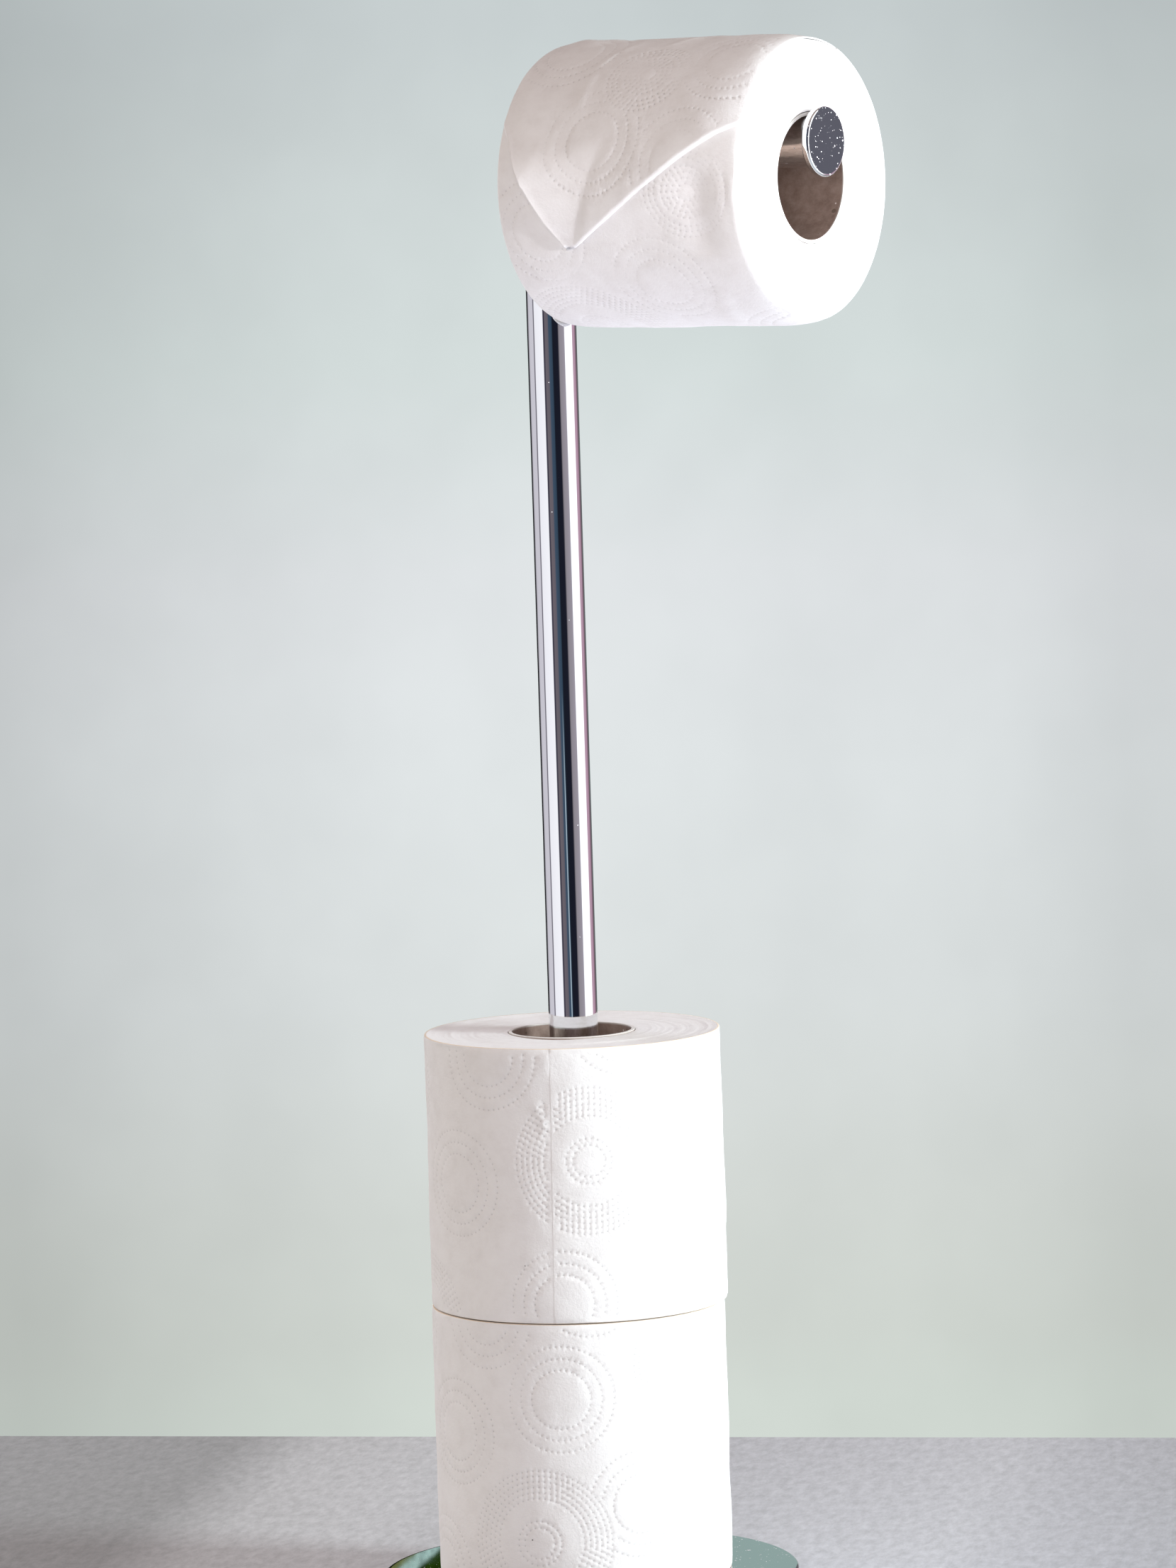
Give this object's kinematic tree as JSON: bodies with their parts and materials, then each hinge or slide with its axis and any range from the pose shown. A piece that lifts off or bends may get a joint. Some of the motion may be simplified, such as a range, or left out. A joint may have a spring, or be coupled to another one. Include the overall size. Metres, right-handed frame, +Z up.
{
  "type": "toilet roll holder",
  "caption": "Free-standing chrome toilet roll holder: weighted round base, upright tube and bent arm with an end disc, with a roll on the arm and spare rolls stacked round the upright.",
  "frame": {"origin": "on the floor, on the upright's axis, at the middle of the pad under the base", "axes": "+Z up along the upright, +X along the arm from the upright to its end disc, +Y to the back of the arm as the roll's loose sheet hangs to -Y"},
  "size_m": [0.1975, 0.155, 0.5693],
  "materials": {
    "chrome": "polished",
    "zinc_steel": "satin",
    "iron": "matte",
    "foam": "matte",
    "washer_rubber": "matte",
    "tissue": "matte",
    "card": "matte"
  },
  "bodies": {
    "stand": {"base_pad": "foam", "base_weight": "iron", "base_cover": "chrome", "base_bolt": "zinc_steel", "base_washer": "washer_rubber", "post_insert": "zinc_steel", "post_tube": "chrome", "post_top_insert": "zinc_steel", "arm_stud": "zinc_steel", "arm_tube": "chrome", "arm_end_disc": "chrome"},
    "arm_roll": {"arm_roll_core": "card", "arm_roll_paper": "tissue", "arm_roll_last_sheet": "tissue"},
    "lower_spare": {"lower_spare_core": "card", "lower_spare_paper": "tissue"},
    "upper_spare": {"upper_spare_core": "card", "upper_spare_paper": "tissue"}
  },
  "joints": [
    {"name": "arm_roll_spin", "type": "hinge", "parent": "stand", "child": "arm_roll", "pos_m": [0.063, 0, 0.5183], "axis": [1, 0, 0], "continuous": true},
    {"name": "lower_spare_lift", "type": "slide", "parent": "stand", "child": "lower_spare", "axis": [0, 0, 1], "range_m": [0, 0.125]},
    {"name": "upper_spare_lift", "type": "slide", "parent": "lower_spare", "child": "upper_spare", "axis": [0, 0, 1], "range_m": [0, 0.125]}
  ]
}
